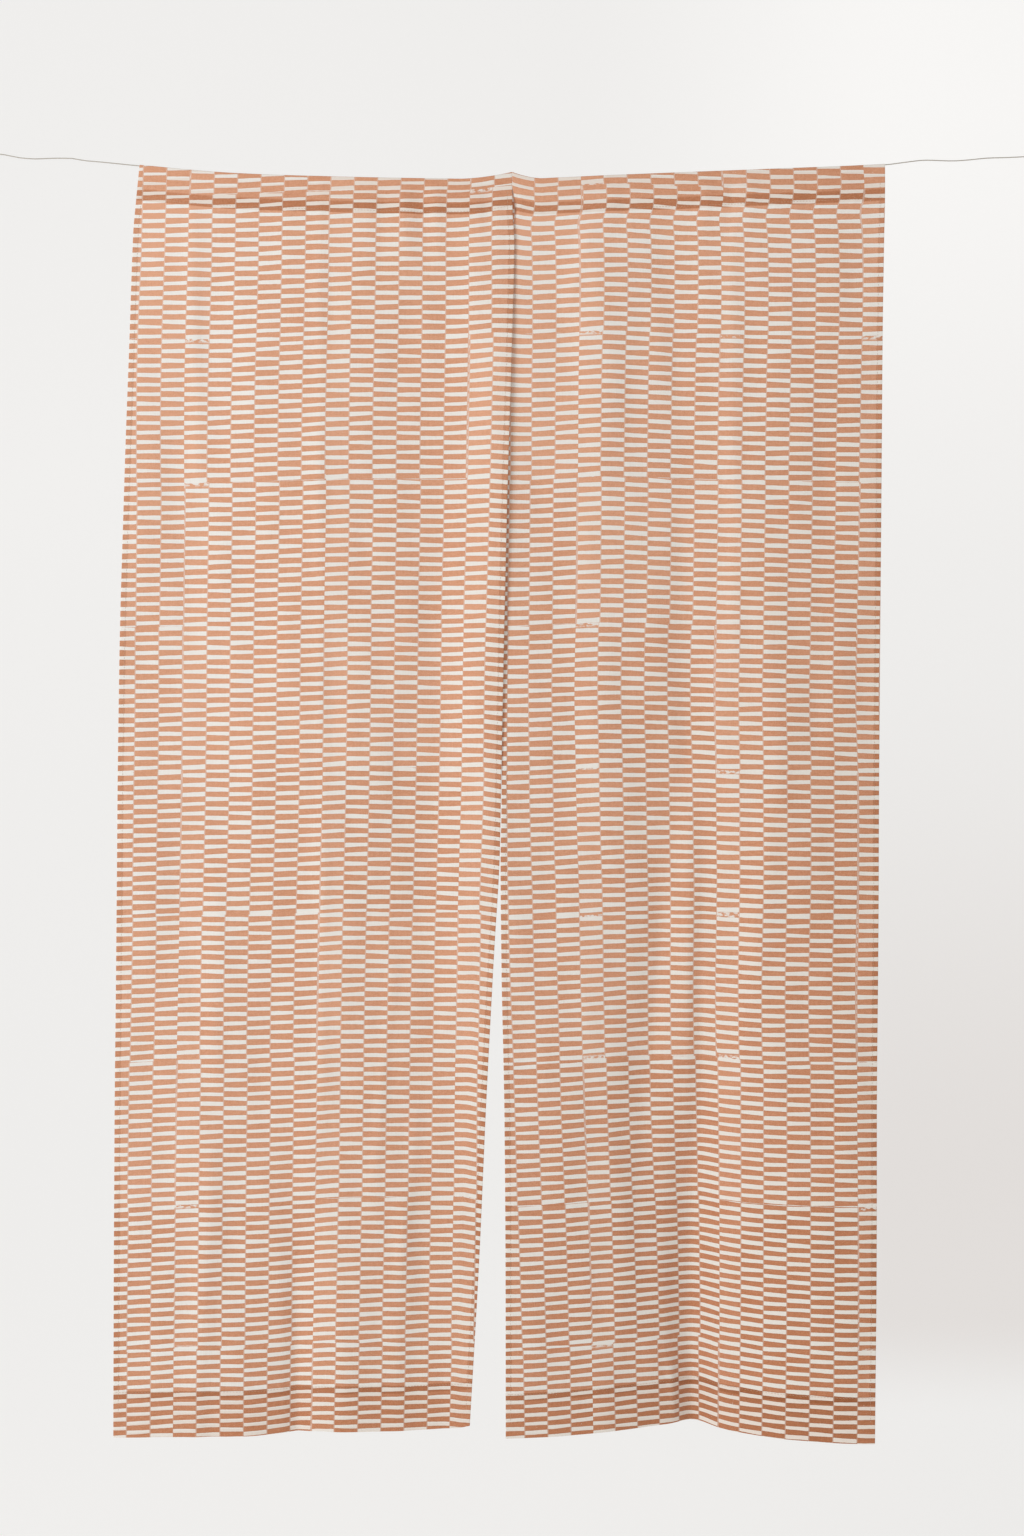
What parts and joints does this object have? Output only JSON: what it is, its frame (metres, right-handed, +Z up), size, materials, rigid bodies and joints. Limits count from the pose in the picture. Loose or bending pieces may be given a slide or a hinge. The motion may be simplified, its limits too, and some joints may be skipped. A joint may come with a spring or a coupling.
{
  "type": "door curtain on a hanging wire",
  "caption": "Split door curtain: printed cotton panels with rod pockets and side and bottom hems, hung side by side on one thin wire with looped ends.",
  "frame": {"origin": "on the wire's axis, midway across the doorway, where the two panels' top corners meet", "axes": "+X to the right seen from the front, +Y away from the viewer, +Z up"},
  "size_m": [1.2684, 0.0973, 1.5291],
  "materials": {
    "printed_cotton": "plain-woven off-white cotton, hand block printed in tan-brown bars",
    "wire_steel": "dull pale galvanised wire"
  },
  "bodies": {
    "root": {"panel_left": "printed_cotton", "panel_right": "printed_cotton", "wire": "wire_steel", "wire_eye_left": "wire_steel", "wire_eye_right": "wire_steel"}
  },
  "joints": []
}
